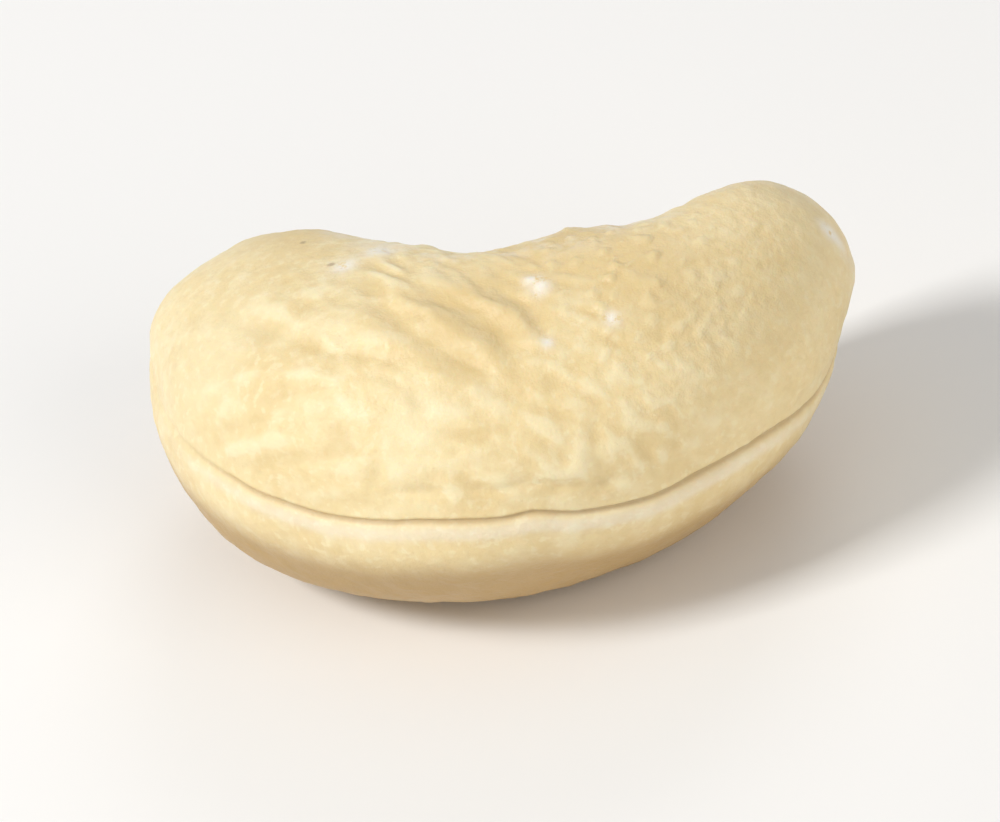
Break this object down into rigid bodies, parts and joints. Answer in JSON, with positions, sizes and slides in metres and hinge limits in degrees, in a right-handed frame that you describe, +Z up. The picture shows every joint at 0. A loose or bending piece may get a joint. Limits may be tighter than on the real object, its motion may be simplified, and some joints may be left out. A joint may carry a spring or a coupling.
{
  "type": "cashew kernel",
  "caption": "Whole shelled cashew kernel: plump, kidney-shaped, with a seam all round where its two halves meet, lying on a broad side.",
  "frame": {"origin": "middle of the bounding box in plan, at the height of the flat spot the kernel lies on", "axes": "+X along the kernel's length, towards the slimmer arm; +Y out of the hollow crook, -Y out of the rounded back; +Z up"},
  "size_m": [0.0254, 0.017, 0.0122],
  "materials": {
    "flesh": "smooth, satin, pale cream"
  },
  "bodies": {
    "root": {"kernel": "flesh"}
  },
  "joints": []
}
